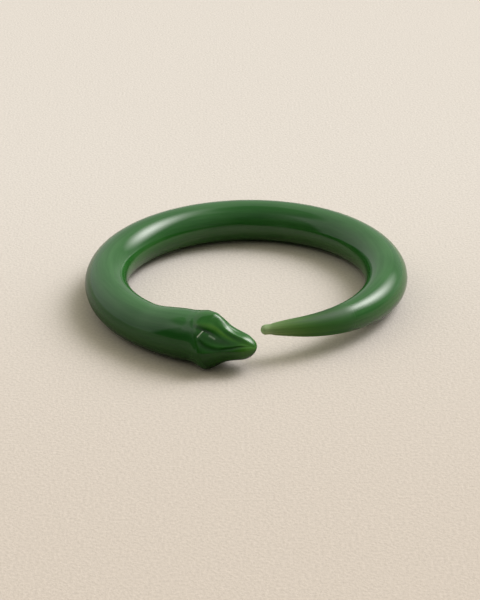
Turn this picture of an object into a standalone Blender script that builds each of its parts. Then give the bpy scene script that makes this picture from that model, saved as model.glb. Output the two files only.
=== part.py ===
"""Serpent bangle: an open glass bracelet that lies flat, with a head, a round rod and a drawn tail.

The rod follows a circle round the wrist. At one end it is drawn out into a fine tail that lifts a
little and leans inwards. At the other end it swells into a neck and carries a serpent's head, which
runs straight on along the rod's tangent. The head and the tail are hot-sealed to the rod, each on a
shallow dished face.

Plan angles are in degrees, anticlockwise from +X as seen from above, and grow along the rod from the
tail's tip to the neck. The head has its own coordinates: a distance along its axis, counted from the
place where the rod's circle ends, and a turn round the axis, counted from the crown.
"""

import math

import bmesh
import bpy
from mathutils import Vector

MM = 0.001

# Rod and wrist opening
INSIDE_DIAMETER = 60.3 * MM
ROD_RADIUS = 5.5 * MM
NECK_RADIUS = 6.2 * MM
NECK_SWELL_ANGLE = 586.0
NECK_ANGLE = 606.25
ROD_SIDES = 28
ROD_STEP_ANGLE = 4.0

# Tail
TAIL_TIP_ANGLE = 277.4
TAIL_GROW_ANGLE = 279.4
TAIL_FULL_ANGLE = 356.0
TAIL_TIP_RADIUS = 1.25 * MM
TAIL_TAPER_POWER = 0.72
TAIL_BLEND = 0.5 * MM
TAIL_BEND_ANGLE = 370.0
TAIL_LEAN = 2.1 * MM
TAIL_LIFT = 2.6 * MM
TAIL_DROOP = 0.55 * MM
TAIL_DROOP_ANGLE = 291.0
TAIL_SEAL_ANGLE = 318.0
TAIL_STEP_ANGLE = 2.2
TAIL_DOME_RINGS = 4

# Hot seals between the rod and its two ends
SEAL_GAP = 0.3 * MM
SEAL_DISH = 1.2 * MM
SEAL_RINGS = 3

# Head outlines as pairs of distance along the axis and size, both in millimetres
HALF_WIDTHS = ((0.0, 6.2), (2.5, 6.3), (6.4, 7.75), (8.4, 6.75), (11.0, 4.95), (14.0, 3.75), (17.8, 2.7))
CROWN_HEIGHTS = (
    (0.0, 6.2), (2.5, 6.3), (4.9, 6.85), (6.8, 7.02), (8.4, 6.75), (9.6, 6.05), (10.8, 5.05), (12.6, 3.98),
    (14.4, 3.15), (17.8, 1.9))
CHIN_DEPTHS = ((0.0, 6.2), (2.5, 6.15), (6.6, 6.14), (8.8, 5.3), (11.0, 4.35), (14.0, 3.6), (17.8, 2.8))
# How far the flanks are pinched in beside the crest, as a share of the half width
PINCHES = ((0.0, 0.0), (4.4, 0.02), (6.4, 0.42), (8.8, 0.66), (12.0, 0.58), (14.5, 0.3), (17.8, 0.05))
HEAD_LENGTH = 17.8 * MM
HEAD_AXIS_HEIGHT = 6.15 * MM
HEAD_AXIS_RISE = 6.0 * MM
SNOUT_ROUND = 3.2 * MM
HEAD_SIDES = 72
HEAD_RINGS = 48
NECK_RINGS = 8

# Slanted crease behind the crown, where the head is sealed to the neck
CREASE_PLACE = 2.6 * MM
CREASE_SWEEP = 3.0 * MM
CREASE_DEPTH = 0.12 * MM
CREASE_WIDTH = 0.5 * MM
# The crease fades out over this range of the cosine of the turn, on its way down to the chin
CREASE_GONE, CREASE_FULL = -0.1, 0.4

# Slanted oval marks on each side: height, place, turn in degrees, length, spread in degrees, and slant,
# which is how far forward the mark leans for each degree of turn
BROW = (0.06 * MM, 8.0 * MM, 41.0, 1.8 * MM, 9.0, 0.33 * MM)
EYE_HOLLOW = (-0.26 * MM, 7.3 * MM, 52.0, 1.35 * MM, 8.5, 0.257 * MM)
EYE_REAR_CUT = (-0.12 * MM, 5.6 * MM, 58.0, 0.5 * MM, 7.0, -0.075 * MM)
EYE_FRONT_CUT = (-0.08 * MM, 8.2 * MM, 62.5, 0.8 * MM, 4.0, 0.32 * MM)
HEAD_MARKS = (BROW, EYE_HOLLOW, EYE_REAR_CUT, EYE_FRONT_CUT)

# Hollow of the cheek, and the line of the mouth with a low lip above it
CHEEK_START, CHEEK_TURN, CHEEK_DEPTH, CHEEK_SPREAD = 7.2 * MM, 54.0, 0.15 * MM, 11.0
MOUTH_CORNER, MOUTH_DEPTH, MOUTH_SPREAD = 4.6 * MM, 0.18 * MM, 4.6
MOUTH_TURNS = (
    (4.6, 66.0), (5.5, 70.0), (7.1, 78.0), (8.2, 82.0), (10.3, 86.0), (12.6, 81.0), (14.9, 69.0),
    (17.8, 56.0))
LIP_HEIGHT, LIP_ABOVE, LIP_SPREAD = 0.06 * MM, 6.5, 3.5
RELIEF_FADE = 2.0 * MM

# Glass colours, as linear red, green and blue
ROD_GREEN = (0.035, 0.125, 0.040)
HEAD_GREEN = (0.040, 0.140, 0.040)
TAIL_GREEN = (0.110, 0.220, 0.060)
GLASS_ROUGHNESS = 0.06
SHARP_ANGLE = 45.0

UP = Vector((0.0, 0.0, 1.0))
ROD_FLAT = math.cos(math.pi / ROD_SIDES)


def clamp(value):
    return min(max(value, 0.0), 1.0)


def ease(value):
    value = clamp(value)
    return value * value * (3.0 - 2.0 * value)


def swell(offset, spread):
    """Smooth hump that is 1 at no offset and dies away past the spread."""
    return math.exp(-((offset / spread) ** 2))


def outline(pairs, place):
    """Smooth curve through a few pairs, with no overshoot between them."""
    places = [pair[0] for pair in pairs]
    sizes = [pair[1] for pair in pairs]
    slopes = [(sizes[i + 1] - sizes[i]) / (places[i + 1] - places[i]) for i in range(len(pairs) - 1)]
    tangents = [slopes[0]]
    for before, after in zip(slopes, slopes[1:]):
        same_way = before * after > 0.0
        tangents.append(2.0 * before * after / (before + after) if same_way else 0.0)
    tangents.append(slopes[-1])
    place = min(max(place, places[0]), places[-1])
    i = max(k for k in range(len(pairs) - 1) if places[k] <= place)
    span = places[i + 1] - places[i]
    u = (place - places[i]) / span
    rise = sizes[i] + (sizes[i + 1] - sizes[i]) * u * u * (3.0 - 2.0 * u)
    lean_in = tangents[i] * u * (1.0 - u) ** 2
    lean_out = tangents[i + 1] * u * u * (1.0 - u)
    return rise + span * (lean_in - lean_out)


def turns(sides):
    """Angles round a section. A flat side is at the bottom, so the rod rests on a face."""
    return [2.0 * math.pi * (k + 0.5) / sides for k in range(sides)]


def rod_radius(angle):
    """The tail's taper meets the full rod in a smooth blend, and the neck swells beyond it."""
    grown = max((angle - TAIL_GROW_ANGLE) / (TAIL_FULL_ANGLE - TAIL_GROW_ANGLE), 0.0)
    tapered = TAIL_TIP_RADIUS + (ROD_RADIUS - TAIL_TIP_RADIUS) * grown ** TAIL_TAPER_POWER
    overlap = max(1.0 - abs(ROD_RADIUS - tapered) / TAIL_BLEND, 0.0)
    radius = min(ROD_RADIUS, tapered) - overlap * overlap * TAIL_BLEND / 4.0
    neck = ease((angle - NECK_SWELL_ANGLE) / (NECK_ANGLE - NECK_SWELL_ANGLE))
    return radius + (NECK_RADIUS - ROD_RADIUS) * neck


def rod_directions(angle):
    """Outward and forward directions of the rod at a plan angle."""
    out = Vector((math.cos(math.radians(angle)), math.sin(math.radians(angle)), 0.0))
    return out, UP.cross(out)


def rod_centre(angle):
    bend = clamp((TAIL_BEND_ANGLE - angle) / (TAIL_BEND_ANGLE - TAIL_TIP_ANGLE)) ** 2
    droop = clamp((TAIL_DROOP_ANGLE - angle) / (TAIL_DROOP_ANGLE - TAIL_TIP_ANGLE)) ** 2
    reach = INSIDE_DIAMETER / 2.0 + ROD_RADIUS - TAIL_LEAN * bend
    height = max(rod_radius(angle), ROD_RADIUS) * ROD_FLAT + TAIL_LIFT * bend - TAIL_DROOP * droop
    return rod_directions(angle)[0] * reach + UP * height


def rod_ring(angle, scale=1.0, ahead=0.0):
    """One round section of the rod, or a smaller ring inside it moved forward along the rod."""
    out, forward = rod_directions(angle)
    radius = rod_radius(angle) * scale
    centre = rod_centre(angle) + forward * ahead
    return [centre + (out * math.sin(t) + UP * math.cos(t)) * radius for t in turns(ROD_SIDES)]


def crease_place(turn, scale=1.0):
    """Where the slanted crease crosses the axis distance at a turn, or at a point nearer the axis."""
    return CREASE_PLACE + CREASE_SWEEP * (1.0 - scale * math.cos(turn))


def slanted_mark(place, side, mark):
    """Height of one slanted oval mark at a point of the head."""
    height, middle, turn, length, spread, slant = mark
    across = place - middle - slant * (side - turn)
    return height * swell(across, length) * swell(side - turn, spread)


def head_relief(place, turn):
    """Height of the pressed and pinched detail over the plain head."""
    side = abs(math.degrees(math.remainder(turn, 2.0 * math.pi)))
    marks = sum(slanted_mark(place, side, mark) for mark in HEAD_MARKS)
    below_mouth = side - outline(MOUTH_TURNS, place / MM)
    forward = ease((place - MOUTH_CORNER) / RELIEF_FADE) * ease((HEAD_LENGTH - place) / SNOUT_ROUND)
    lip = LIP_HEIGHT * swell(below_mouth + LIP_ABOVE, LIP_SPREAD)
    mouth = MOUTH_DEPTH * swell(below_mouth, MOUTH_SPREAD)
    cheek_in = ease((place - CHEEK_START) / RELIEF_FADE)
    cheek = CHEEK_DEPTH * cheek_in * swell(side - CHEEK_TURN, CHEEK_SPREAD)
    chin_fade = ease((math.cos(turn) - CREASE_GONE) / (CREASE_FULL - CREASE_GONE))
    crease = CREASE_DEPTH * chin_fade * swell(place - crease_place(turn), CREASE_WIDTH)
    return marks + forward * (lip - mouth) - cheek - crease


def head_point(place, turn, scale=1.0, at=None):
    """A point on the neck or head, or inside it. The place where it lies may differ from its section's."""
    out, forward = rod_directions(NECK_ANGLE)
    millimetres = place / MM
    sideways = math.sin(turn)
    upward = math.cos(turn)
    tall = CROWN_HEIGHTS if upward > 0.0 else CHIN_DEPTHS
    nose = clamp((place - HEAD_LENGTH + SNOUT_ROUND) / SNOUT_ROUND)
    size = scale * math.sqrt(1.0 - nose * nose)
    relief = head_relief(place, turn)
    pinch = 1.0 - outline(PINCHES, millimetres) * max(upward, 0.0)
    across = (outline(HALF_WIDTHS, millimetres) * MM * pinch + relief) * sideways * size
    height = (outline(tall, millimetres) * MM + relief) * upward * size
    neck = rod_centre(NECK_ANGLE)
    lift = (HEAD_AXIS_HEIGHT - neck.z) * ease(place / HEAD_AXIS_RISE)
    along = place if at is None else at
    return neck + forward * along + out * across + UP * (height + lift)


def seal_ring(sides, scale, gap):
    """Ring of the dished seal between neck and head. The dish is deepest on the axis."""
    dish = SEAL_DISH * (1.0 - scale * scale) + gap
    ring = []
    for turn in turns(sides):
        place = crease_place(turn) + gap
        ring.append(head_point(place, turn, scale, crease_place(turn, scale) + dish))
    return ring


def seal_pole(gap):
    """Deepest point of the neck seal, on the axis."""
    return head_point(0.0, 0.0, 0.0, crease_place(0.0, 0.0) + SEAL_DISH + gap)


def seal_scales():
    return [(k + 1.0) / (SEAL_RINGS + 1.0) for k in range(SEAL_RINGS)]


def glass(name, colour):
    material = bpy.data.materials.new(name)
    material.use_nodes = True
    shader = material.node_tree.nodes["Principled BSDF"]
    shader.inputs["Base Color"].default_value = (*colour, 1.0)
    shader.inputs["Roughness"].default_value = GLASS_ROUGHNESS
    shader.inputs["Metallic"].default_value = 0.0
    return material


def loft(name, start, rings, end, material):
    """Closed skin over a row of rings, with a pole at each end."""
    bm = bmesh.new()
    rows = [[bm.verts.new(point) for point in ring] for ring in rings]
    sides = len(rows[0])
    for row, after in zip(rows, rows[1:]):
        for k in range(sides):
            n = (k + 1) % sides
            bm.faces.new((row[k], row[n], after[n], after[k]))
    for pole, row in ((start, rows[0]), (end, rows[-1])):
        tip = bm.verts.new(pole)
        for k in range(sides):
            bm.faces.new((tip, row[k], row[(k + 1) % sides]))
    bmesh.ops.recalc_face_normals(bm, faces=bm.faces)
    mesh = bpy.data.meshes.new(name)
    bm.to_mesh(mesh)
    bm.free()
    mesh.materials.append(material)
    mesh.shade_smooth()
    mesh.set_sharp_from_angle(angle=math.radians(SHARP_ANGLE))
    piece = bpy.data.objects.new(name, mesh)
    bpy.context.collection.objects.link(piece)
    return piece


def steps(first, last, step):
    """Evenly spaced values from first to last, about one step apart."""
    count = max(round(abs(last - first) / step), 1)
    return [first + (last - first) * k / count for k in range(count + 1)]


def build_tail():
    """Drawn-out end of lighter glass: a round bead at the tip, then an even taper to its seal."""
    forward = rod_directions(TAIL_TIP_ANGLE)[1]
    rings = []
    for k in range(TAIL_DOME_RINGS):
        dome = math.pi / 2.0 * (k + 1.0) / (TAIL_DOME_RINGS + 1.0)
        rings.append(rod_ring(TAIL_TIP_ANGLE, math.sin(dome), -TAIL_TIP_RADIUS * math.cos(dome)))
    rings += [rod_ring(angle) for angle in steps(TAIL_TIP_ANGLE, TAIL_SEAL_ANGLE, TAIL_STEP_ANGLE)]
    for scale in reversed(seal_scales()):
        rings.append(rod_ring(TAIL_SEAL_ANGLE, scale, SEAL_DISH * (1.0 - scale * scale)))
    tip = rod_centre(TAIL_TIP_ANGLE) - forward * TAIL_TIP_RADIUS
    root = rod_centre(TAIL_SEAL_ANGLE) + rod_directions(TAIL_SEAL_ANGLE)[1] * SEAL_DISH
    return loft("tail_cane", tip, rings, root, glass("tail glass", TAIL_GREEN))


def build_rod():
    """Main rod: a socket for the tail, the circle round the wrist, the neck and its domed seal."""
    reach = INSIDE_DIAMETER / 2.0 + ROD_RADIUS
    first = TAIL_SEAL_ANGLE + math.degrees(SEAL_GAP / reach)
    forward = rod_directions(first)[1]
    rings = [rod_ring(first, scale, SEAL_DISH * (1.0 - scale * scale)) for scale in seal_scales()]
    rings += [rod_ring(angle) for angle in steps(first, NECK_ANGLE, ROD_STEP_ANGLE)]
    for k in range(NECK_RINGS):
        share = (k + 1.0) / NECK_RINGS
        rings.append([head_point(share * crease_place(turn), turn) for turn in turns(ROD_SIDES)])
    rings += [seal_ring(ROD_SIDES, scale, 0.0) for scale in reversed(seal_scales())]
    socket = rod_centre(first) + forward * SEAL_DISH
    return loft("body_rod", socket, rings, seal_pole(0.0), glass("rod glass", ROD_GREEN))


def build_head():
    """Serpent's head: a dished back that sits on the neck, then rings that close on the snout."""
    rings = [seal_ring(HEAD_SIDES, scale, SEAL_GAP) for scale in seal_scales()]
    for k in range(HEAD_RINGS):
        share = k / HEAD_RINGS
        share = (share + math.sin(math.pi / 2.0 * share)) / 2.0
        ring = []
        for turn in turns(HEAD_SIDES):
            back = crease_place(turn) + SEAL_GAP
            ring.append(head_point(back + share * (HEAD_LENGTH - back), turn))
        rings.append(ring)
    snout = head_point(HEAD_LENGTH, 0.0)
    return loft("head", seal_pole(SEAL_GAP), rings, snout, glass("head glass", HEAD_GREEN))


def centre_on_footprint(pieces):
    """Parent the pieces to one empty, and move it so the middle of the footprint is the origin."""
    corners = [vertex.co for piece in pieces for vertex in piece.data.vertices]
    low = Vector(min(corner[axis] for corner in corners) for axis in range(3))
    high = Vector(max(corner[axis] for corner in corners) for axis in range(3))
    bangle = bpy.data.objects.new("bangle", None)
    bpy.context.collection.objects.link(bangle)
    bangle.location = (-(low.x + high.x) / 2.0, -(low.y + high.y) / 2.0, -low.z)
    for piece in pieces:
        piece.parent = bangle
    size = (high - low) / MM
    print(f"bangle {size.x:.1f} x {size.y:.1f} x {size.z:.1f} mm, moved by {bangle.location / MM}")


def main():
    for old in list(bpy.data.objects):
        bpy.data.objects.remove(old, do_unlink=True)
    centre_on_footprint([build_tail(), build_rod(), build_head()])


main()
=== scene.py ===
# %% [markdown]
# # A glass snake bangle
#
# The bracelet is a rod of green glass that was softened in a flame and bent once round the wrist. A fine,
# drawn-out tail is sealed to one end, and a snake's head to the other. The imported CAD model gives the
# frame, and this lesson makes the smooth glass that is seen, piece by piece, in that frame.

# %% Load the frame
import math

import bmesh
import bpy
from mathutils import Matrix, Vector


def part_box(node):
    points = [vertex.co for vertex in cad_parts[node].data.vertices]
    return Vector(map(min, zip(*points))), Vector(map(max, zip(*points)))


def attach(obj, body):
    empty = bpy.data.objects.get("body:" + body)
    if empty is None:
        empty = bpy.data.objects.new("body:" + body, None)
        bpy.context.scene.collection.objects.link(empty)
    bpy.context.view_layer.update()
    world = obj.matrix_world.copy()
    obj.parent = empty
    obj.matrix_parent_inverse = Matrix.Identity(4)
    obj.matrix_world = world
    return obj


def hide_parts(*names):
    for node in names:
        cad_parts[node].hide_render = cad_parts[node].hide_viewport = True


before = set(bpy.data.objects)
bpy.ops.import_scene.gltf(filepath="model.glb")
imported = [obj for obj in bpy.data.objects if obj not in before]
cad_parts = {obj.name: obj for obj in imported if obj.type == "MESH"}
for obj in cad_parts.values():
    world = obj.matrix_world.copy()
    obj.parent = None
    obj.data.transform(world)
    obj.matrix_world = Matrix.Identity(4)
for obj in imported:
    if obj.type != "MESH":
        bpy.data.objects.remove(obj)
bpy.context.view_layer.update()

MM = 0.001

# %% [markdown]
# ## Where the ring is
#
# Every shape on the bangle follows the circle that the rod is bent to. Its middle isn't quite the
# middle of the footprint, because the head reaches past the circle. It could be typed in as a number,
# but it is read from the rod's box, so that it stays right if the model changes.

# %% Middle of the ring
RING_RADIUS = 35.65 * MM
ROD_RADIUS = 5.5 * MM
CAD_SIDES = 28

rod_low, rod_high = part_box("body_rod")
cad_reach = RING_RADIUS + ROD_RADIUS * math.cos(math.pi / CAD_SIDES)
ring_centre = Vector(((rod_low.x + rod_high.x) / 2.0, rod_high.y - cad_reach, 0.0))
print("ring centre in mm:", [round(v / MM, 2) for v in ring_centre])

# %% [markdown]
# ## Camera
#
# The picture was taken from a low stand with a long lens, so the ring looks like a wide oval. The
# camera is placed by its elevation, distance and aim, as a photographer would set a tripod. A long lens
# far away keeps the front and the back of the ring near the same scale.

# %% Camera on its stand
CAMERA_ELEVATION = math.radians(26.547)
CAMERA_ROLL = math.radians(0.9)
CAMERA_DISTANCE = 475.0 * MM
CAMERA_LENS = 110.95
AIM_RIGHT = -1.744 * MM
AIM_UP = -0.946 * MM
CLIP_START = 10.0 * MM

level = Vector((1.0, 0.0, 0.0))
steep = Vector((0.0, math.sin(CAMERA_ELEVATION), math.cos(CAMERA_ELEVATION)))
ahead = Vector((0.0, math.cos(CAMERA_ELEVATION), -math.sin(CAMERA_ELEVATION)))
camera_right = level * math.cos(CAMERA_ROLL) - steep * math.sin(CAMERA_ROLL)
camera_up = level * math.sin(CAMERA_ROLL) + steep * math.cos(CAMERA_ROLL)
camera_place = ring_centre + level * AIM_RIGHT + steep * AIM_UP - ahead * CAMERA_DISTANCE

camera = bpy.data.objects.new("camera", bpy.data.cameras.new("camera"))
camera.data.lens = CAMERA_LENS
camera.data.clip_start = CLIP_START
turned = Matrix((camera_right, camera_up, -ahead)).transposed().to_4x4()
camera.matrix_world = Matrix.Translation(camera_place) @ turned
bpy.context.collection.objects.link(camera)
bpy.context.scene.camera = camera
bpy.context.scene.view_settings.view_transform = "Standard"
print("camera at mm:", [round(v / MM) for v in camera_place])

# %% [markdown]
# ## Nodes in few words
#
# The studio, the floor and the glass are all node trees. A few small helpers keep them readable: one adds
# a node and fills its inputs, by a value or by a link, and the others are for the many small sums.

# %% Node helpers
def add_node(tree, kind, settings=None, inputs=None):
    """Add a node, set its own settings, and fill its inputs by name or place. A socket is linked."""
    made = tree.nodes.new(kind)
    for key, value in (settings or {}).items():
        setattr(made, key, value)
    for key, value in (inputs or {}).items():
        if isinstance(value, bpy.types.NodeSocket):
            tree.links.new(value, made.inputs[key])
        else:
            made.inputs[key].default_value = value
    return made


def maths(tree, operation, *values):
    """Output of one Math node."""
    return add_node(tree, "ShaderNodeMath", {"operation": operation}, dict(enumerate(values))).outputs[0]


def vector_maths(tree, operation, *values):
    """Vector output of one Vector Math node."""
    made = add_node(tree, "ShaderNodeVectorMath", {"operation": operation}, dict(enumerate(values)))
    return made.outputs["Vector"]


def scaled(tree, vector, amount):
    """A vector or a colour times a number."""
    made = add_node(tree, "ShaderNodeVectorMath", {"operation": "SCALE"}, {0: vector, "Scale": amount})
    return made.outputs["Vector"]


def mix_colours(tree, share, first, second):
    """Colour output that goes from the first colour to the second with a share."""
    made = add_node(tree, "ShaderNodeMix", {"data_type": "RGBA"}, {0: share, 6: first, 7: second})
    return made.outputs[2]


def remap(tree, value, low, high, to_low=0.0, to_high=1.0):
    """Output that eases from one number to another as the value goes from low to high."""
    limits = {"Value": value, "From Min": low, "From Max": high, "To Min": to_low, "To Max": to_high}
    eased = add_node(tree, "ShaderNodeMapRange", {"interpolation_type": "SMOOTHSTEP"}, limits)
    return eased.outputs["Result"]


def direction(azimuth, elevation):
    """Unit vector towards a compass angle, anticlockwise from +X, and a height above the horizon."""
    a = math.radians(azimuth)
    e = math.radians(elevation)
    return Vector((math.cos(a) * math.cos(e), math.sin(a) * math.cos(e), math.sin(e)))


# %% [markdown]
# ## Studio
#
# Polished glass shows its surroundings more than its own colour, so the light is built from what a
# small table studio has. One round softbox stands at the right, behind the bangle, and spills some light
# beside it. A pale wall goes round the back and the left side, with a lighter patch on it, and stops at a
# slanted edge. The rest of the room is dark low down and lighter towards the ceiling, with a faint light
# from the right and a dim patch at the front left. Lamps could stand in for these, but a lamp's mirror
# image has a hard rim, so the studio is painted on the world by direction, and the softbox fades out from
# its middle. Light that has bounced round the room is warmer than the lamp, so diffuse rays see a warmer
# room than reflections do, and the shadows turn brownish.

# %% Studio on the world
KEY_LIGHT = {"azimuth": 32.0, "elevation": 44.5, "strength": 11.2, "wide": 11.3, "tall": 12.6}
KEY_SPILL = {"azimuth": 5.0, "elevation": 50.0, "strength": 0.3, "wide": 18.0, "tall": 22.0}
WALL_GLOW = {"azimuth": 147.0, "elevation": 26.0, "strength": 0.32, "wide": 22.0, "tall": 16.0}
FRONT_PATCH = {"azimuth": -150.0, "elevation": 46.0, "strength": 0.25, "wide": 13.0, "tall": 11.0}
# A glow ends where it has faded to the cut, and the facing keeps it off the other side of the world.
GLOW_CUT = 0.05
GLOW_FACING = 0.3
WALL_STRENGTH = 0.50
WALL_EDGE = Vector((-0.22, 0.943, 0.25))
WALL_EDGE_SOFT = 0.09
WALL_RIGHT_LIT, WALL_RIGHT_DARK = 0.80, 1.02
WALL_TOP = Vector((-0.2, 0.0, 1.0))
WALL_TOP_LIT, WALL_TOP_DARK = 0.89, 0.97
ROOM_LOW, ROOM_HIGH = 0.03, 0.34
ROOM_LOW_HEIGHT, ROOM_HIGH_HEIGHT = 0.3, 0.9
ROOM_SIDE = Vector((0.966, -0.259, 0.0))
ROOM_SIDE_STRENGTH = 0.22
ROOM_SIDE_START, ROOM_SIDE_END = 0.4, 0.85
STUDIO_WHITE = (1.0, 0.985, 0.96, 1.0)
BOUNCE_WARM = (1.0, 0.965, 0.68, 1.0)
UP = Vector((0.0, 0.0, 1.0))

world = bpy.data.worlds.new("table studio")
world.use_nodes = True
studio = world.node_tree
looked_at = add_node(studio, "ShaderNodeTexCoord").outputs["Generated"]


def along_axis(axis):
    """How far the looked-at direction points along an axis of the studio."""
    dot = add_node(studio, "ShaderNodeVectorMath", {"operation": "DOT_PRODUCT"}, {0: looked_at, 1: axis})
    return dot.outputs["Value"]


def soft_glow(azimuth, elevation, strength, wide, tall):
    """Oval glow on the world that fades out smoothly from its middle."""
    towards = direction(azimuth, elevation)
    aside = direction(azimuth + 90.0, 0.0)
    across = maths(studio, "DIVIDE", along_axis(aside), math.radians(wide))
    upwards = maths(studio, "DIVIDE", along_axis(towards.cross(aside)), math.radians(tall))
    spread = maths(studio, "ADD", maths(studio, "POWER", across, 2.0), maths(studio, "POWER", upwards, 2.0))
    fall = maths(studio, "EXPONENT", maths(studio, "MULTIPLY", spread, -0.5))
    cut = maths(studio, "MAXIMUM", maths(studio, "SUBTRACT", fall, GLOW_CUT), 0.0)
    facing = remap(studio, along_axis(towards), 0.0, GLOW_FACING, 0.0, strength / (1.0 - GLOW_CUT))
    return maths(studio, "MULTIPLY", cut, facing)


right_fade = remap(studio, along_axis(level), WALL_RIGHT_LIT, WALL_RIGHT_DARK, 1.0, 0.0)
top_fade = remap(studio, along_axis(WALL_TOP), WALL_TOP_LIT, WALL_TOP_DARK, 1.0, 0.0)
wall = remap(studio, along_axis(WALL_EDGE), -WALL_EDGE_SOFT, WALL_EDGE_SOFT, 0.0, WALL_STRENGTH)
wall = maths(studio, "MULTIPLY", wall, right_fade)
light = maths(studio, "MULTIPLY", wall, top_fade)
for part_light in (
    remap(studio, along_axis(UP), ROOM_LOW_HEIGHT, ROOM_HIGH_HEIGHT, ROOM_LOW, ROOM_HIGH),
    remap(studio, along_axis(ROOM_SIDE), ROOM_SIDE_START, ROOM_SIDE_END, 0.0, ROOM_SIDE_STRENGTH),
    soft_glow(**KEY_SPILL),
    soft_glow(**WALL_GLOW),
    soft_glow(**FRONT_PATCH),
):
    light = maths(studio, "ADD", light, part_light)
diffuse = add_node(studio, "ShaderNodeLightPath").outputs["Is Diffuse Ray"]
around = scaled(studio, mix_colours(studio, diffuse, STUDIO_WHITE, BOUNCE_WARM), light)
key = scaled(studio, STUDIO_WHITE[:3], soft_glow(**KEY_LIGHT))
studio.links.new(vector_maths(studio, "ADD", around, key), studio.nodes["Background"].inputs["Color"])
bpy.context.scene.world = world
print("studio nodes:", len(studio.nodes))

# %% [markdown]
# ## Table
#
# The bangle lies on a sheet of warm white paper. It isn't part of the object.
# Paper has a faint tooth, and a fine noise in the colour keeps it from looking like a flat tint. The
# sheet is far larger than a real one, so that its edge lies at the horizon in a low view. A clean white
# sheet would light the glass too strongly from below, so rays that don't come straight from the camera
# see it dimmer, and less so towards the softbox.

# %% Paper on the table
TABLE_SIZE = 100.0
# Towards the camera the paper is darker and warmer: the darkening is a painted falloff of the light.
PAPER_NEAR = (0.610, 0.537, 0.499, 1.0)
PAPER_FAR = (0.694, 0.645, 0.634, 1.0)
PAPER_NEAR_PLACE, PAPER_FAR_PLACE = -160.0 * MM, 100.0 * MM
PAPER_GRAIN_SCALE = 1400.0
PAPER_GRAIN = 0.09
PAPER_TOOTH = 0.12 * MM
PAPER_ROUGHNESS = 0.9
TOOTH_DETAIL, TOOTH_ROUGHNESS = 3.0, 0.6
TOOTH_LOW, TOOTH_HIGH = 0.2, 0.8
BOUNCE_FRONT, BOUNCE_BACK = 0.42, 0.70
BOUNCE_FRONT_PLACE, BOUNCE_BACK_PLACE = -55.0 * MM, 20.0 * MM

paper = bpy.data.materials.new("warm paper")
paper.use_nodes = True
paper_tree = paper.node_tree
paper_at = add_node(paper_tree, "ShaderNodeTexCoord").outputs["Object"]
tooth_look = {"Scale": PAPER_GRAIN_SCALE, "Detail": TOOTH_DETAIL, "Roughness": TOOTH_ROUGHNESS}
tooth = add_node(paper_tree, "ShaderNodeTexNoise", None, {"Vector": paper_at, **tooth_look}).outputs["Fac"]
paper_xyz = add_node(paper_tree, "ShaderNodeSeparateXYZ", None, {"Vector": paper_at}).outputs
away = remap(paper_tree, paper_xyz["Y"], PAPER_NEAR_PLACE, PAPER_FAR_PLACE)
paper_tint_with_painted_falloff = mix_colours(paper_tree, away, PAPER_NEAR, PAPER_FAR)
grain = remap(paper_tree, tooth, TOOTH_LOW, TOOTH_HIGH, 1.0 - PAPER_GRAIN, 1.0 + PAPER_GRAIN)
seen = add_node(paper_tree, "ShaderNodeLightPath").outputs["Is Camera Ray"]
to_light = maths(paper_tree, "ADD", paper_xyz["X"], paper_xyz["Y"])
bounce = remap(paper_tree, to_light, BOUNCE_FRONT_PLACE, BOUNCE_BACK_PLACE, BOUNCE_FRONT, BOUNCE_BACK)
grain = maths(paper_tree, "MULTIPLY", grain, maths(paper_tree, "MAXIMUM", seen, bounce))
paper_bump = add_node(paper_tree, "ShaderNodeBump", None, {"Distance": PAPER_TOOTH, "Height": tooth})
paper_shader = paper_tree.nodes["Principled BSDF"]
paper_tree.links.new(scaled(paper_tree, paper_tint_with_painted_falloff, grain), paper_shader.inputs["Base Color"])
paper_tree.links.new(paper_bump.outputs["Normal"], paper_shader.inputs["Normal"])
paper_shader.inputs["Roughness"].default_value = PAPER_ROUGHNESS
half = TABLE_SIZE / 2.0
table_mesh = bpy.data.meshes.new("table")
corners = [(-half, -half, 0.0), (half, -half, 0.0), (half, half, 0.0), (-half, half, 0.0)]
table_mesh.from_pydata(corners, [], [(0, 1, 2, 3)])
table_mesh.materials.append(paper)
table = bpy.data.objects.new("table", table_mesh)
bpy.context.collection.objects.link(table)
print("table side in m:", TABLE_SIZE)

# %% [markdown]
# ## The rod's rule
#
# A glassworker bends the soft rod round a former, so its middle line is a circle that lies on the table.
# Near the tail the line leans inwards and lifts, with a slight droop at the tip, and its thickness falls
# in an even taper to a small bead. Before the head it swells into a neck. All of this is a rule of one
# angle, counted anticlockwise from the right and growing from the tail's tip to the neck, so it is written
# as a few functions.

# %% Thickness and middle line of the rod
NECK_RADIUS = 6.2 * MM
NECK_SWELL_ANGLE = 586.0
NECK_ANGLE = 606.25
TAIL_TIP_ANGLE = 277.4
TAIL_GROW_ANGLE = 279.4
TAIL_FULL_ANGLE = 356.0
TAIL_TIP_RADIUS = 1.25 * MM
TAIL_TAPER_POWER = 0.72
TAIL_BLEND = 0.5 * MM
TAIL_BEND_ANGLE = 370.0
TAIL_LEAN = 2.1 * MM
TAIL_LIFT = 2.6 * MM
TAIL_DROOP = 0.55 * MM
TAIL_DROOP_ANGLE = 291.0
TAIL_SEAL_ANGLE = 318.0


def clamp(value):
    """Value held between 0 and 1."""
    return min(max(value, 0.0), 1.0)


def ease(value):
    """Smooth step from 0 to 1."""
    value = clamp(value)
    return value * value * (3.0 - 2.0 * value)


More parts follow.
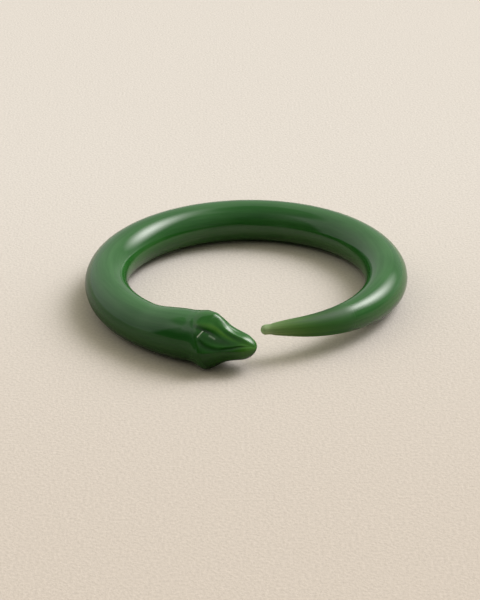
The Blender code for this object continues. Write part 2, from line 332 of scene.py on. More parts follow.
def rod_radius(angle):
    """The tail's taper meets the full rod in a smooth blend, and the neck swells beyond it."""
    grown = max((angle - TAIL_GROW_ANGLE) / (TAIL_FULL_ANGLE - TAIL_GROW_ANGLE), 0.0)
    tapered = TAIL_TIP_RADIUS + (ROD_RADIUS - TAIL_TIP_RADIUS) * grown ** TAIL_TAPER_POWER
    overlap = max(1.0 - abs(ROD_RADIUS - tapered) / TAIL_BLEND, 0.0)
    radius = min(ROD_RADIUS, tapered) - overlap * overlap * TAIL_BLEND / 4.0
    neck = ease((angle - NECK_SWELL_ANGLE) / (NECK_ANGLE - NECK_SWELL_ANGLE))
    return radius + (NECK_RADIUS - ROD_RADIUS) * neck


def rod_directions(angle):
    """Outward and forward directions of the rod at a plan angle."""
    out = Vector((math.cos(math.radians(angle)), math.sin(math.radians(angle)), 0.0))
    return out, UP.cross(out)


def rod_centre(angle):
    """Point on the rod's middle line."""
    bend = clamp((TAIL_BEND_ANGLE - angle) / (TAIL_BEND_ANGLE - TAIL_TIP_ANGLE)) ** 2
    droop = clamp((TAIL_DROOP_ANGLE - angle) / (TAIL_DROOP_ANGLE - TAIL_TIP_ANGLE)) ** 2
    height = max(rod_radius(angle), ROD_RADIUS) + TAIL_LIFT * bend - TAIL_DROOP * droop
    return ring_centre + rod_directions(angle)[0] * (RING_RADIUS - TAIL_LEAN * bend) + UP * height


for angle in (TAIL_TIP_ANGLE, TAIL_SEAL_ANGLE, NECK_ANGLE):
    print(f"at {angle:.0f} degrees the rod is {2.0 * rod_radius(angle) / MM:.1f} mm thick")

# %% [markdown]
# ## Paths for the sweep
#
# The rod and the tail are two lengths of glass, fused end to end where the colour changes. Each gets a
# path of points with a thickness. The points close up near a seal, so that the two skins meet there
# with the same slope and no line shows. The tail's path runs on past its end through a quarter circle
# of shrinking thickness, which makes the bead at the tip in the same sweep.

# %% Points along the rod and the tail
PATH_STEP = 1.0
PATH_CLOSE_STEPS = (0.02, 0.1, 0.25, 0.5)
SEAM_GAP = 0.01 * MM
BEAD_STEPS = 14
BEAD_FIRST_STEP = 0.25


def path_points(first, last):
    """Points and thicknesses between two angles, closer together near both ends."""
    count = round((last - first) / PATH_STEP)
    angles = [first + (last - first) * k / count for k in range(count + 1)]
    angles += [first + step for step in PATH_CLOSE_STEPS]
    angles += [last - step for step in PATH_CLOSE_STEPS]
    return [(rod_centre(angle), rod_radius(angle)) for angle in sorted(angles)]


rod_start_angle = TAIL_SEAL_ANGLE + math.degrees(SEAM_GAP / RING_RADIUS)
rod_path = path_points(rod_start_angle, NECK_ANGLE)
tail_path = path_points(TAIL_TIP_ANGLE, TAIL_SEAL_ANGLE)
tip_centre, tip_radius = tail_path[0]
tip_forward = (tail_path[1][0] - tip_centre).normalized()
bead = []
for k in range(BEAD_STEPS):
    dome = math.pi / 2.0 * (k + BEAD_FIRST_STEP) / BEAD_STEPS
    bead.append((tip_centre - tip_forward * tip_radius * math.cos(dome), tip_radius * math.sin(dome)))
tail_path = bead + tail_path
tail_length = sum((b[0] - a[0]).length for a, b in zip(tail_path, tail_path[1:]))
print("path points:", len(rod_path), len(tail_path), "tail length in mm:", round(tail_length / MM, 1))

# %% [markdown]
# ## A tree that draws glass along a path
#
# Drawn glass is a round section carried along a line, which is what Curve to Mesh does. The tree takes
# the path's own radius as the scale of a unit circle. It also keeps two coordinates for the finish: how
# far a point is along the glass, and where it is round the section. Streaks in drawn glass follow the
# length, so the finish needs both.

# %% Geometry nodes for drawn glass
def drawn_glass_tree():
    """Geometry Nodes tree that sweeps a round glass section along a path."""
    tree = bpy.data.node_groups.new("drawn_glass", "GeometryNodeTree")
    tree.interface.new_socket("Path", in_out="INPUT", socket_type="NodeSocketGeometry")
    tree.interface.new_socket("Sides", in_out="INPUT", socket_type="NodeSocketInt")
    tree.interface.new_socket("Start", in_out="INPUT", socket_type="NodeSocketFloat")
    tree.interface.new_socket("Glass", in_out="INPUT", socket_type="NodeSocketMaterial")
    tree.interface.new_socket("Skin", in_out="OUTPUT", socket_type="NodeSocketGeometry")
    given = tree.nodes.new("NodeGroupInput").outputs
    length = add_node(tree, "GeometryNodeSplineParameter").outputs["Length"]
    along = maths(tree, "ADD", length, given["Start"])
    upright = add_node(tree, "GeometryNodeSetCurveNormal", {"mode": "Z_UP"}, {"Curve": given["Path"]})
    marked = add_node(
        tree, "GeometryNodeStoreNamedAttribute", {"data_type": "FLOAT", "domain": "POINT"},
        {"Geometry": upright.outputs[0], "Name": "along", "Value": along})
    circle = add_node(
        tree, "GeometryNodeCurvePrimitiveCircle", {"mode": "RADIUS"},
        {"Resolution": given["Sides"], "Radius": 1.0})
    here = add_node(tree, "GeometryNodeInputPosition").outputs["Position"]
    section = add_node(
        tree, "GeometryNodeStoreNamedAttribute", {"data_type": "FLOAT_VECTOR", "domain": "POINT"},
        {"Geometry": circle.outputs["Curve"], "Name": "ring", "Value": here})
    thickness = add_node(tree, "GeometryNodeInputRadius").outputs["Radius"]
    swept = add_node(
        tree, "GeometryNodeCurveToMesh", None,
        {"Curve": marked.outputs[0], "Profile Curve": section.outputs[0], "Scale": thickness})
    smooth = add_node(tree, "GeometryNodeSetShadeSmooth", None, {"Geometry": swept.outputs[0]})
    solid = add_node(tree, "GeometryNodeRealizeInstances", None, {"Geometry": smooth.outputs[0]})
    glazed = add_node(
        tree, "GeometryNodeSetMaterial", None, {"Geometry": solid.outputs[0], "Material": given["Glass"]})
    add_node(tree, "NodeGroupOutput", None, {"Skin": glazed.outputs[0]})
    return tree


drawn_glass = drawn_glass_tree()
print("drawn glass nodes:", len(drawn_glass.nodes))

# %% [markdown]
# The path becomes a curve with the tree on it as a modifier. Its evaluated result is copied into a
# plain mesh, and the curve is thrown away, so that the finished piece carries no live modifier.

# %% Sweep a path into a mesh
GLASS_SIDES = 120


def draw_glass(name, path, start, glass):
    """Plain mesh object swept along a path, still open at both ends."""
    curve = bpy.data.curves.new(name, "CURVE")
    curve.dimensions = "3D"
    spline = curve.splines.new("POLY")
    spline.points.add(len(path) - 1)
    for point, (place, radius) in zip(spline.points, path):
        point.co = (*place, 1.0)
        point.radius = radius
    guide = bpy.data.objects.new(name + "_path", curve)
    bpy.context.collection.objects.link(guide)
    modifier = guide.modifiers.new("drawn glass", "NODES")
    modifier.node_group = drawn_glass
    values = {"Sides": GLASS_SIDES, "Start": start, "Glass": glass}
    for socket in drawn_glass.interface.items_tree:
        if socket.name in values:
            modifier[socket.identifier] = values[socket.name]
    graph = bpy.context.evaluated_depsgraph_get()
    mesh = bpy.data.meshes.new_from_object(
        guide.evaluated_get(graph), preserve_all_data_layers=True, depsgraph=graph)
    bpy.data.objects.remove(guide, do_unlink=True)
    piece = bpy.data.objects.new(name, mesh)
    bpy.context.collection.objects.link(piece)
    return piece


# %% [markdown]
# ## Finish of drawn glass
#
# The glass is fire-polished, so it is as smooth as the flame left it: a sharp gloss over faint ripples.
# Its colour isn't even, because the rod was drawn from a gather with paler threads and cloudy patches in
# it. Towards the table the green is painted lighter and olive, as painted light from the paper below.
# Rod, tail and head share this as one node group, and each gives it its own two greens.

# %% Shader group for drawn glass
THREAD_ROUND = 3.2
THREAD_ALONG = 45.0
THREAD_RELIEF = 0.15
THREAD_DETAIL, THREAD_ROUGHNESS = 3.0, 0.6
THREAD_LOW, THREAD_HIGH = 0.35, 0.68
CLOUD_SCALE, CLOUD_DETAIL = 70.0, 2.0
CLOUD_LOW, CLOUD_HIGH = 0.3, 0.7
ROUGHNESS_CLEAR, ROUGHNESS_CLOUDY = 0.045, 0.085
RIPPLE_SCALE, RIPPLE_DETAIL = 160.0, 1.0
LOW_HEIGHT, HIGH_HEIGHT = 2.0 * MM, 9.0 * MM
PAINTED_BOUNCE_TINT = (2.0, 1.05, 1.5)
CENTRED = (-0.5, 0.5)


def glass_finish_group():
    """Shader group: streaked colour with painted light low down, roughness and ripple height of drawn,
    fire-polished glass.
    """
    tree = bpy.data.node_groups.new("drawn_glass_finish", "ShaderNodeTree")
    for name in ("Deep", "Pale"):
        tree.interface.new_socket(name, in_out="INPUT", socket_type="NodeSocketColor")
    for name in ("Streaks", "Clouds"):
        tree.interface.new_socket(name, in_out="INPUT", socket_type="NodeSocketFloat")
    tree.interface.new_socket("Colour", in_out="OUTPUT", socket_type="NodeSocketColor")
    for name in ("Roughness", "Height"):
        tree.interface.new_socket(name, in_out="OUTPUT", socket_type="NodeSocketFloat")
    given = tree.nodes.new("NodeGroupInput").outputs
    along = add_node(tree, "ShaderNodeAttribute", {"attribute_name": "along"}).outputs["Fac"]
    ring = add_node(tree, "ShaderNodeAttribute", {"attribute_name": "ring"}).outputs["Vector"]
    round_it = add_node(tree, "ShaderNodeSeparateXYZ", None, {"Vector": ring}).outputs
    threads = add_node(
        tree, "ShaderNodeCombineXYZ", None,
        {
            "X": maths(tree, "MULTIPLY", round_it["X"], THREAD_ROUND),
            "Y": maths(tree, "MULTIPLY", round_it["Y"], THREAD_ROUND),
            "Z": maths(tree, "MULTIPLY", along, THREAD_ALONG),
        }).outputs[0]
    thread_look = {"Scale": 1.0, "Detail": THREAD_DETAIL, "Roughness": THREAD_ROUGHNESS}
    streak = add_node(tree, "ShaderNodeTexNoise", None, {"Vector": threads, **thread_look}).outputs["Fac"]
    streak = remap(tree, streak, THREAD_LOW, THREAD_HIGH, *CENTRED)
    inside = add_node(tree, "ShaderNodeTexCoord").outputs["Object"]
    cloud = add_node(
        tree, "ShaderNodeTexNoise", None,
        {"Vector": inside, "Scale": CLOUD_SCALE, "Detail": CLOUD_DETAIL}).outputs["Fac"]
    cloud = remap(tree, cloud, CLOUD_LOW, CLOUD_HIGH, *CENTRED)
    share = maths(tree, "MULTIPLY_ADD", streak, given["Streaks"], 0.5)
    share = maths(tree, "MULTIPLY_ADD", cloud, given["Clouds"], share)
    colour = mix_colours(tree, share, given["Deep"], given["Pale"])
    # Low down the colour is painted lighter and more olive: painted light from the paper below.
    low = add_node(tree, "ShaderNodeSeparateXYZ", None, {"Vector": inside}).outputs["Z"]
    low = remap(tree, low, LOW_HEIGHT, HIGH_HEIGHT, 1.0, 0.0)
    colour = mix_colours(tree, low, colour, vector_maths(tree, "MULTIPLY", colour, PAINTED_BOUNCE_TINT))
    rough = remap(tree, cloud, *CENTRED, ROUGHNESS_CLEAR, ROUGHNESS_CLOUDY)
    ripple = add_node(
        tree, "ShaderNodeTexNoise", None,
        {"Vector": inside, "Scale": RIPPLE_SCALE, "Detail": RIPPLE_DETAIL}).outputs["Fac"]
    height = maths(tree, "MULTIPLY_ADD", streak, THREAD_RELIEF, ripple)
    add_node(tree, "NodeGroupOutput", None, {"Colour": colour, "Roughness": rough, "Height": height})
    return tree


glass_finish = glass_finish_group()
print("glass finish nodes:", len(glass_finish.nodes))

# %% [markdown]
# Each material places the group, sends its height through a Bump node, and keeps the shader outside it.
# Coloured glass this thick lets almost no light out again except near its skin, so an opaque body
# colour under a clear gloss gives its look, and no inner seal shows through.

# %% Glass material
GLASS_IOR = 1.5
RIPPLE_STRENGTH = 0.35
RIPPLE_DISTANCE = 0.06 * MM


def glass_material(name, finish_values):
    """Material with the glass group wired to its shader. Returns the material, the group and the shader."""
    material = bpy.data.materials.new(name)
    material.use_nodes = True
    tree = material.node_tree
    shader = tree.nodes["Principled BSDF"]
    finish = add_node(tree, "ShaderNodeGroup", {"node_tree": glass_finish}, finish_values)
    bump = add_node(
        tree, "ShaderNodeBump", None,
        {"Strength": RIPPLE_STRENGTH, "Distance": RIPPLE_DISTANCE, "Height": finish.outputs["Height"]})
    tree.links.new(finish.outputs["Colour"], shader.inputs["Base Color"])
    tree.links.new(finish.outputs["Roughness"], shader.inputs["Roughness"])
    tree.links.new(bump.outputs["Normal"], shader.inputs["Normal"])
    shader.inputs["IOR"].default_value = GLASS_IOR
    return material, finish, shader


ROD_DEEP = (0.0145, 0.107, 0.013, 1.0)
ROD_PALE = (0.032, 0.144, 0.029, 1.0)
ROD_FINISH = {"Deep": ROD_DEEP, "Pale": ROD_PALE, "Streaks": 0.7, "Clouds": 0.5}
rod_glass = glass_material("rod glass", ROD_FINISH)[0]
print("rod glass:", ROD_DEEP[:3], "to", ROD_PALE[:3])

# %% [markdown]
# The tail is drawn from paler, yellower glass. It is thin towards the tip, where light gets through it.
# That light is painted into its greens and dies away along the tail, blue first and green last, and the
# rod's own greens take over towards the seal. Light that comes through from above is painted in too, so
# the lower side is lighter and the upper side darker. The thin end has a satin skin, which turns glossy
# towards the seal. All of this follows the two coordinates that the sweep kept, so no image is needed.

# %% Tail glass
TAIL_DEEP = (0.003, 0.082, 0.001, 1.0)
TAIL_PALE = (0.010, 0.114, 0.002, 1.0)
TIP_LIGHT = (0.58, 0.68, 0.46)
TIP_REACHES = {"X": 4.0 * MM, "Y": 4.8 * MM, "Z": 3.0 * MM}
TIP_STREAKS = {"Deep": 0.75, "Pale": 1.25}
TAIL_THROUGH = 0.42
TAIL_LIGHTEST = (0.9, 0.9, 0.9)
TAIL_BLEND_START = 16.0 * MM
TAIL_SATIN, TAIL_SATIN_LENGTH = 0.55, 20.0 * MM
TAIL_FINISH = {"Streaks": 0.9, "Clouds": 0.4}
tail_glass, tail_finish, tail_shader = glass_material("tail glass", TAIL_FINISH)
tail_tree = tail_glass.node_tree
drawn = add_node(tail_tree, "ShaderNodeAttribute", {"attribute_name": "along"}).outputs["Fac"]
falls = {
    channel: maths(tail_tree, "EXPONENT", maths(tail_tree, "DIVIDE", drawn, -reach))
    for channel, reach in TIP_REACHES.items()}
thin = add_node(tail_tree, "ShaderNodeCombineXYZ", None, falls).outputs[0]
thick = remap(tail_tree, drawn, TAIL_BLEND_START, tail_length)
for name, own, next_to_it in (("Deep", TAIL_DEEP, ROD_DEEP), ("Pale", TAIL_PALE, ROD_PALE)):
    base = mix_colours(tail_tree, thick, own, next_to_it)
    light_through = Vector(TIP_LIGHT) * TIP_STREAKS[name]
    lit = vector_maths(tail_tree, "MULTIPLY_ADD", thin, light_through, base)
    tail_tree.links.new(lit, tail_finish.inputs[name])
tail_ring = add_node(tail_tree, "ShaderNodeAttribute", {"attribute_name": "ring"}).outputs["Vector"]
# On swept glass the section's own Y points down, so it is 1 underneath and -1 on top.
under = add_node(tail_tree, "ShaderNodeSeparateXYZ", None, {"Vector": tail_ring}).outputs["Y"]
through = remap(tail_tree, drawn, TAIL_BLEND_START, tail_length, TAIL_THROUGH, 0.0)
through = maths(tail_tree, "MULTIPLY_ADD", under, through, 1.0)
colour_with_painted_through_light = scaled(tail_tree, tail_finish.outputs["Colour"], through)
colour_with_painted_through_light = vector_maths(tail_tree, "MINIMUM", colour_with_painted_through_light, TAIL_LIGHTEST)
tail_tree.links.new(colour_with_painted_through_light, tail_shader.inputs["Base Color"])
satin = remap(tail_tree, drawn, TAIL_SATIN_LENGTH, tail_length, TAIL_SATIN, 0.0)
satin = maths(tail_tree, "MAXIMUM", satin, tail_finish.outputs["Roughness"])
tail_tree.links.new(satin, tail_shader.inputs["Roughness"])
print("tail glass:", TAIL_DEEP[:3], "to", TAIL_PALE[:3])

# %% [markdown]
# ## The head's rule
#
# The head is sealed to the neck, and pressed and pinched while it is soft. It runs straight on from the
# neck. A few sizes along its length give its width, crown, chin and the pinch beside its crest. The eyes,
# brows, mouth and the crease at the nape are smooth dents and swellings over that. It could be sculpted,
# but written as a rule it is the same on both sides and can be changed by one number.

# %% Outlines of the head
# Each pair is a place along the head in millimetres and the size there, or the share of the pinch.
HALF_WIDTHS = (
    (0.0, 6.2), (0.5, 6.205), (2.5, 6.42), (4.5, 7.1), (6.4, 7.65), (8.4, 6.75), (11.0, 4.95), (14.0, 3.75),
    (17.8, 2.7))
CROWN_HEIGHTS = (
    (0.0, 6.2), (0.5, 6.205), (2.5, 6.55), (4.9, 7.04), (6.8, 7.12), (8.4, 6.5), (9.6, 5.56), (10.8, 4.52),
    (12.6, 3.58), (14.4, 2.98), (17.8, 2.0))
CHIN_DEPTHS = ((0.0, 6.2), (2.5, 6.15), (6.6, 6.14), (8.8, 5.3), (11.0, 4.35), (14.0, 3.6), (17.8, 2.8))
PINCHES = (
    (0.0, 0.0), (0.5, 0.001), (2.5, 0.04), (4.4, 0.18), (6.4, 0.44), (8.4, 0.6), (11.0, 0.52), (14.5, 0.34),
    (17.8, 0.12))
HEAD_LENGTH = 17.8 * MM


def outline(pairs, place):
    """Smooth curve through a few pairs, with no overshoot between them."""
    places = [pair[0] for pair in pairs]
    sizes = [pair[1] for pair in pairs]
    slopes = [(sizes[i + 1] - sizes[i]) / (places[i + 1] - places[i]) for i in range(len(pairs) - 1)]
    tangents = [slopes[0]]
    for before, after in zip(slopes, slopes[1:]):
        same_way = before * after > 0.0
        tangents.append(2.0 * before * after / (before + after) if same_way else 0.0)
    tangents.append(slopes[-1])
    place = min(max(place, places[0]), places[-1])
    i = max(k for k in range(len(pairs) - 1) if places[k] <= place)
    span = places[i + 1] - places[i]
    u = (place - places[i]) / span
    rise = sizes[i] + (sizes[i + 1] - sizes[i]) * u * u * (3.0 - 2.0 * u)
    lean_in = tangents[i] * u * (1.0 - u) ** 2
    lean_out = tangents[i + 1] * u * u * (1.0 - u)
    return rise + span * (lean_in - lean_out)


SAMPLE_STEP = 0.1
samples = [k * SAMPLE_STEP for k in range(round(HEAD_LENGTH / MM / SAMPLE_STEP))]
print("widest head in mm:", round(2.0 * max(outline(HALF_WIDTHS, place) for place in samples), 2))

# %% [markdown]
# The eyes, the brows, the two cuts beside each eye, the flat nose bridge with its ridges and the jowls are
# oval marks, some of them slanted, so one small function serves them all. The mouth is a line that wanders
# down and up again along the side of the head.

# %% Dents and swellings of the head
CREASE_PLACE, CREASE_SWEEP = 2.6 * MM, 3.0 * MM
CREASE_DEPTH, CREASE_WIDTH = 0.06 * MM, 0.5 * MM
CREASE_GONE, CREASE_FULL = -0.1, 0.4
# A mark has a height, a place, a turn from the crown, a length, a spread, and a lean for each degree.
BROW = (0.05 * MM, 8.0 * MM, 42.0, 1.9 * MM, 9.0, 0.33 * MM)
EYE_HOLLOW = (-0.24 * MM, 7.2 * MM, 53.0, 1.4 * MM, 9.0, 0.257 * MM)
EYE_REAR_CUT = (-0.10 * MM, 5.6 * MM, 58.0, 0.45 * MM, 7.0, -0.075 * MM)
EYE_FRONT_CUT = (-0.05 * MM, 8.2 * MM, 62.5, 0.8 * MM, 4.0, 0.32 * MM)
NOSE_BRIDGE = (-0.26 * MM, 12.6 * MM, 0.0, 3.2 * MM, 17.0, 0.0)
NOSE_RIDGE = (0.17 * MM, 12.6 * MM, 30.0, 3.2 * MM, 8.0, 0.0)
JOWL = (0.80 * MM, 7.0 * MM, 140.0, 2.7 * MM, 20.0, 0.0)
HEAD_MARKS = (BROW, EYE_HOLLOW, EYE_REAR_CUT, EYE_FRONT_CUT, NOSE_BRIDGE, NOSE_RIDGE, JOWL)
CHEEK_START, CHEEK_TURN, CHEEK_DEPTH, CHEEK_SPREAD = 7.2 * MM, 54.0, 0.15 * MM, 11.0
MOUTH_CORNER, MOUTH_DEPTH, MOUTH_SPREAD = 4.6 * MM, 0.11 * MM, 5.2
MOUTH_TURNS = (
    (4.6, 66.0), (5.5, 70.0), (7.1, 78.0), (8.2, 82.0), (10.3, 86.0), (12.6, 81.0), (14.9, 69.0),
    (17.8, 56.0))
LIP_HEIGHT, LIP_ABOVE, LIP_SPREAD = 0.04 * MM, 6.5, 3.5
RELIEF_FADE = 2.0 * MM
SNOUT_ROUND = 3.2 * MM


def swell(offset, spread):
    """Smooth hump that is 1 at no offset and dies away past the spread."""
    return math.exp(-((offset / spread) ** 2))


def crease_place(turn, scale=1.0):
    """Where the slanted crease crosses the axis distance at a turn, or at a point nearer the axis."""
    return CREASE_PLACE + CREASE_SWEEP * (1.0 - scale * math.cos(turn))


def side_angle(turn):
    """Turn from the crown in degrees, the same for the left and the right side."""
    return abs(math.degrees(math.remainder(turn, 2.0 * math.pi)))


def slanted_mark(place, turn, mark):
    """Height of a slanted oval mark: its height, place, turn, length, spread, and lean for each degree."""
    height, middle, mark_turn, length, spread, slant = mark
    off_turn = side_angle(turn) - mark_turn
    return height * swell(place - middle - slant * off_turn, length) * swell(off_turn, spread)


def mouth_line(place, turn, above=0.0, spread=MOUTH_SPREAD):
    """How near a point is to the line of the mouth, or to a line above it, from 0 to 1."""
    forward = ease((place - MOUTH_CORNER) / RELIEF_FADE) * ease((HEAD_LENGTH - place) / SNOUT_ROUND)
    return forward * swell(side_angle(turn) - outline(MOUTH_TURNS, place / MM) + above, spread)


def head_relief(place, turn):
    """Height of the pressed and pinched detail over the plain head."""
    marks = sum(slanted_mark(place, turn, mark) for mark in HEAD_MARKS)
    lip = LIP_HEIGHT * mouth_line(place, turn, LIP_ABOVE, LIP_SPREAD)
    mouth = MOUTH_DEPTH * mouth_line(place, turn)
    cheek_in = ease((place - CHEEK_START) / RELIEF_FADE)
    cheek = CHEEK_DEPTH * cheek_in * swell(side_angle(turn) - CHEEK_TURN, CHEEK_SPREAD)
    chin_fade = ease((math.cos(turn) - CREASE_GONE) / (CREASE_FULL - CREASE_GONE))
    crease = CREASE_DEPTH * chin_fade * swell(place - crease_place(turn), CREASE_WIDTH)
    return marks + lip - mouth - cheek - crease


eye_turn = math.radians(EYE_HOLLOW[2])
deepest = min(head_relief(place * MM, eye_turn) for place in samples)
print("deepest dent in line with the eye, in mm:", round(deepest / MM, 2))

# %% [markdown]
# One function gives any point of the neck and head, from a distance along the axis and a turn round it.
# The neck uses it up to the crease and the head from there on, so the two skins meet exactly.

# %% A point on the head
HEAD_AXIS_HEIGHT = 6.15 * MM
HEAD_AXIS_RISE = 6.0 * MM


def head_point(place, turn, scale=1.0, at=None):
    """A point on the neck or head, or inside it. The place where it lies may differ from its section's."""
    out, forward = rod_directions(NECK_ANGLE)
    millimetres = place / MM
    sideways = math.sin(turn)
    upward = math.cos(turn)
    tall = CROWN_HEIGHTS if upward > 0.0 else CHIN_DEPTHS
    nose = clamp((place - HEAD_LENGTH + SNOUT_ROUND) / SNOUT_ROUND)
    size = scale * math.sqrt(1.0 - nose * nose)
    relief = head_relief(place, turn)
    pinch = 1.0 - outline(PINCHES, millimetres) * max(upward, 0.0)
    across = (outline(HALF_WIDTHS, millimetres) * MM * pinch + relief) * sideways * size
    height = (outline(tall, millimetres) * MM + relief) * upward * size
    neck = rod_centre(NECK_ANGLE)
    lift = (HEAD_AXIS_HEIGHT - neck.z) * ease(place / HEAD_AXIS_RISE)
    along = place if at is None else at
    return neck + forward * along + out * across + UP * (height + lift)


print("snout at mm:", [round(v / MM, 1) for v in head_point(HEAD_LENGTH, 0.0)])

# %% [markdown]
# ## Closing the ends
#
# A swept skin is open at both ends. Each open edge is carried on through further rows of points and
# closed on one last point: the tail's bead, the dished seal between tail and rod, and the neck that
# runs into the head's crease with its own dished seal behind it.

# %% Helpers that carry an edge on
SEAL_DISH = 1.2 * MM
SEAL_SCALES = (0.97, 0.75, 0.5, 0.25)
SHARP_ANGLE = math.radians(50.0)


def open_edge(bm, angle):
    """Turns from the top, and vertices, of the open edge near a plan angle, in order round it."""
    out = rod_directions(angle)[0]
    search = rod_centre(angle)
    rim = [vertex for vertex in bm.verts if vertex.is_boundary]
    near = [vertex for vertex in rim if (vertex.co - search).length < 2.0 * NECK_RADIUS]
    middle = sum((vertex.co for vertex in near), Vector()) / len(near)
    turned = {vertex: math.atan2((vertex.co - middle).dot(out), vertex.co.z - middle.z) for vertex in near}
    near.sort(key=turned.get)
    return [turned[vertex] for vertex in near], near


def carry_on(bm, front, rows, pole):
    """Skin on from an open edge through rows of points, and close on a pole."""
    along = bm.verts.layers.float["along"]
    ring = bm.verts.layers.float_vector["ring"]
    count = len(front)
    for points in rows:
        fresh = [bm.verts.new(point) for point in points]
        for old, made in zip(front, fresh):
            made[along] = old[along] + (made.co - old.co).length
            made[ring] = old[ring]
        for k in range(count):
            n = (k + 1) % count
            bm.faces.new((front[k], front[n], fresh[n], fresh[k]))
        front = fresh
    tip = bm.verts.new(pole)
    tip[along] = front[0][along]
    for k in range(count):
        bm.faces.new((front[k], front[(k + 1) % count], tip))


def settle(bm, piece):
    """Write a closed skin back to its object, with outward faces and crisp seal edges."""
    bmesh.ops.recalc_face_normals(bm, faces=bm.faces)
    open_edges = sum(edge.is_boundary for edge in bm.edges)
    bm.to_mesh(piece.data)
    bm.free()
    piece.data.shade_smooth()
    piece.data.set_sharp_from_angle(angle=SHARP_ANGLE)
    triangles = sum(len(polygon.vertices) - 2 for polygon in piece.data.polygons)
    print(f"{piece.name}: {triangles} triangles, {open_edges} open edges")


# %% [markdown]
# ## Tail
#
# The tail is the thin, drawn-out end. A cone would be simpler, but its taper is curved, so it comes from
# the sweep. Its bead is closed at the very tip, and its other end is dished to match the rod.

# %% Tail piece
def dish_rows(angle, sections):
    """Rows of a shallow dish that fills the rod's section at a plan angle, and its deepest point."""
    out, forward = rod_directions(angle)
    middle = rod_centre(angle)
    radius = rod_radius(angle)
    rows = []
    for scale in SEAL_SCALES:
        deep = middle + forward * SEAL_DISH * (1.0 - scale * scale)
        rows.append([deep + (out * math.sin(t) + UP * math.cos(t)) * radius * scale for t in sections])
    return rows, middle + forward * SEAL_DISH


tail = draw_glass("glass_tail", tail_path, 0.0, tail_glass)
tail_bm = bmesh.new()
tail_bm.from_mesh(tail.data)
tip_edge = open_edge(tail_bm, TAIL_TIP_ANGLE)[1]
carry_on(tail_bm, tip_edge, [], tip_centre - tip_forward * tip_radius)
seal_turns, seal_edge = open_edge(tail_bm, TAIL_SEAL_ANGLE)
carry_on(tail_bm, seal_edge, *dish_rows(TAIL_SEAL_ANGLE, seal_turns))
settle(tail_bm, tail)
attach(tail, "root")
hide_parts("tail_cane")

# %% [markdown]
# ## Rod
#
# The rod goes once round the wrist and ends in the neck. A torus would do for most of it, but it thins
# towards the tail and swells at the neck, so it is swept too. The neck's rows of points crowd together
# towards the crease, so its slope there is the same as the head's.

# %% Rod piece
NECK_ROWS = 40


def crowd(share):
    """Share of the way that slows down towards its end."""
    return 1.0 - (1.0 - share) ** 2


def neck_seal_rows(sections, gap):
    """Rows of the dished seal between neck and head, and its deepest point."""
    rows = []
    for scale in SEAL_SCALES:
        dish = SEAL_DISH * (1.0 - scale * scale) + gap
        rows.append([
            head_point(crease_place(t) + gap, t, scale, crease_place(t, scale) + dish) for t in sections])
    return rows, head_point(0.0, 0.0, 0.0, crease_place(0.0, 0.0) + SEAL_DISH + gap)


rod = draw_glass("glass_rod", rod_path, tail_length, rod_glass)
rod_bm = bmesh.new()
rod_bm.from_mesh(rod.data)
socket_turns, socket_edge = open_edge(rod_bm, rod_start_angle)
carry_on(rod_bm, socket_edge, *dish_rows(rod_start_angle, socket_turns))
neck_turns, neck_edge = open_edge(rod_bm, NECK_ANGLE)
shares = [crowd((k + 1.0) / NECK_ROWS) for k in range(NECK_ROWS)]
neck_rows = [[head_point(share * crease_place(t), t) for t in neck_turns] for share in shares]
seal_rows, seal_pole = neck_seal_rows(neck_turns, 0.0)
carry_on(rod_bm, neck_edge, neck_rows + seal_rows, seal_pole)
settle(rod_bm, rod)
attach(rod, "root")
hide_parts("body_rod")

# %% [markdown]
# ## Head glass
#
# Light and shade are painted into the head's colour to go with its form. The brow and the snout get
# painted light, yellower and brighter, as if light shone through the glass there, and the eye's hollow,
# the cheek, the jowl and the mouth get painted shade. Pale painted glints lie along the two cuts beside
# the eye. An image could carry this, but it would have to be unwrapped, so three values are kept with
# each point instead.

# %% Head glass
HEAD_DEEP = (0.011, 0.100, 0.006, 1.0)
HEAD_PALE = (0.021, 0.145, 0.011, 1.0)
# Painted light, painted shade and painted glint, mixed over the glass's own greens.
HEAD_PAINTED_LIGHT = (0.110, 0.300, 0.030, 1.0)
HEAD_PAINTED_SHADE = (0.003, 0.026, 0.002, 1.0)
HEAD_PAINTED_GLINT = (0.720, 0.820, 0.690, 1.0)
HEAD_FINISH = {"Deep": HEAD_DEEP, "Pale": HEAD_PALE, "Streaks": 0.6, "Clouds": 0.6}
head_glass, head_finish, head_shader = glass_material("head glass", HEAD_FINISH)
head_tree = head_glass.node_tree
head_colour = head_finish.outputs["Colour"]
# The three attributes mix in painted light, painted shade and pale painted glints along the eye's cuts.
for name, painted in (("painted_glow", HEAD_PAINTED_LIGHT), ("painted_shade", HEAD_PAINTED_SHADE), ("cut", HEAD_PAINTED_GLINT)):
    amount = add_node(head_tree, "ShaderNodeAttribute", {"attribute_name": name}).outputs["Fac"]
    head_colour = mix_colours(head_tree, amount, head_colour, painted)
head_tree.links.new(head_colour, head_shader.inputs["Base Color"])
print("head glass:", HEAD_DEEP[:3], "to", HEAD_PAINTED_LIGHT[:3])

# %% [markdown]
# ## Head
#
# The head is the piece that takes the most skill. Its skin is a close net of points from the rule, fine
# enough to carry the narrow cuts, from the crease to the tip of the snout, with a dished back that sits on
# the neck.

# %% Head piece
HEAD_SIDES = 360
HEAD_ROWS = 150
# These marks are like those of the relief, with a share of paint in place of the height. The paint is light
# and shade.
# Painted light on the brow and the snout, as if light shone through the thin glass there.
BROW_PAINTED_LIGHT = (0.58, 9.1 * MM, 45.5, 2.5 * MM, 8.0, 0.40 * MM)
SNOUT_PAINTED_LIGHT = (0.50, 16.6 * MM, 80.0, 2.2 * MM, 45.0, 0.0)
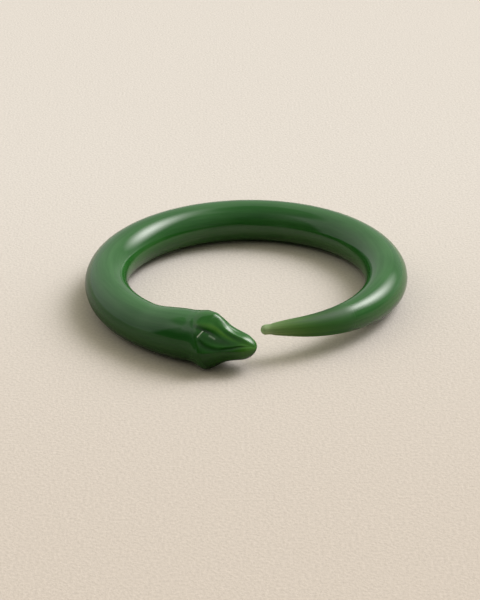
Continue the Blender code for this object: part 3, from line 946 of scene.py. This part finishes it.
# Painted shade in the eye's hollow, on the cheek, under the jowl and along the mouth.
EYE_PAINTED_SHADE = (0.95, 6.8 * MM, 53.0, 1.15 * MM, 11.0, 0.257 * MM)
CHEEK_PAINTED_SHADE = (0.75, 10.0 * MM, 65.0, 3.4 * MM, 9.0, 0.0)
JOWL_PAINTED_SHADE = (0.65, 6.5 * MM, 140.0, 4.5 * MM, 30.0, 0.0)
MOUTH_PAINTED_SHADE = 0.6
# Painted glints: pale lines of painted light along the eye's two cuts.
REAR_PAINTED_GLINT = (1.0, 0.10 * MM, 5.15 * MM, 63.0, 6.0 * MM, 52.5)
FRONT_PAINTED_GLINT = (0.22, 0.17 * MM, 7.7 * MM, 60.5, 8.9 * MM, 64.0)
DEGREE_LENGTH = 0.125 * MM


def painted_glint_line(place, turn, mark):
    """Painted glint, a pale line on the side: its strength and width, then a place and a turn for each end.
    """
    strength, width, from_place, from_turn, to_place, to_turn = mark
    start = Vector((from_place, from_turn * DEGREE_LENGTH))
    way = Vector((to_place, to_turn * DEGREE_LENGTH)) - start
    here = Vector((place, side_angle(turn) * DEGREE_LENGTH)) - start
    share = clamp(here.dot(way) / way.length_squared)
    return strength * swell((here - way * share).length, width)


def head_paint(place, turn):
    """Shares of painted light, painted shade and painted glint at a point of the head."""
    painted_glow = max(slanted_mark(place, turn, BROW_PAINTED_LIGHT), slanted_mark(place, turn, SNOUT_PAINTED_LIGHT))
    painted_shades = [slanted_mark(place, turn, mark) for mark in (EYE_PAINTED_SHADE, CHEEK_PAINTED_SHADE, JOWL_PAINTED_SHADE)]
    painted_shade = max(*painted_shades, MOUTH_PAINTED_SHADE * mouth_line(place, turn))
    # The cut share is a painted glint along the eye's cuts.
    cut = max(painted_glint_line(place, turn, REAR_PAINTED_GLINT), painted_glint_line(place, turn, FRONT_PAINTED_GLINT))
    return {"painted_glow": painted_glow, "painted_shade": painted_shade, "cut": cut}


def row_share(k):
    """Share of the way from the crease to the snout for a row, with the rows closer near the crease."""
    share = k / HEAD_ROWS
    return (share * share + math.sin(math.pi / 2.0 * share)) / 2.0


head_turns = [2.0 * math.pi * (k + 0.5) / HEAD_SIDES for k in range(HEAD_SIDES)]
head_bm = bmesh.new()
along_layer = head_bm.verts.layers.float.new("along")
ring_layer = head_bm.verts.layers.float_vector.new("ring")
paint_layers = {name: head_bm.verts.layers.float.new(name) for name in ("painted_glow", "painted_shade", "cut")}
rod_length = sum((b[0] - a[0]).length for a, b in zip(rod_path, rod_path[1:]))
net = []
for k in range(HEAD_ROWS):
    share = row_share(k)
    row = []
    for turn in head_turns:
        back = crease_place(turn) + SEAM_GAP
        place = back + share * (HEAD_LENGTH - back)
        vertex = head_bm.verts.new(head_point(place, turn))
        vertex[along_layer] = tail_length + rod_length + place
        vertex[ring_layer] = (math.sin(turn), math.cos(turn), 0.0)
        for name, amount in head_paint(place, turn).items():
            vertex[paint_layers[name]] = amount
        row.append(vertex)
    net.append(row)
for row, after in zip(net, net[1:]):
    for k in range(HEAD_SIDES):
        n = (k + 1) % HEAD_SIDES
        head_bm.faces.new((row[k], row[n], after[n], after[k]))
carry_on(head_bm, net[-1], [], head_point(HEAD_LENGTH, 0.0))
carry_on(head_bm, net[0], *neck_seal_rows(head_turns, SEAM_GAP))
head_mesh = bpy.data.meshes.new("glass_head")
head_mesh.materials.append(head_glass)
head = bpy.data.objects.new("glass_head", head_mesh)
bpy.context.collection.objects.link(head)
settle(head_bm, head)
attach(head, "root")
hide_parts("head")
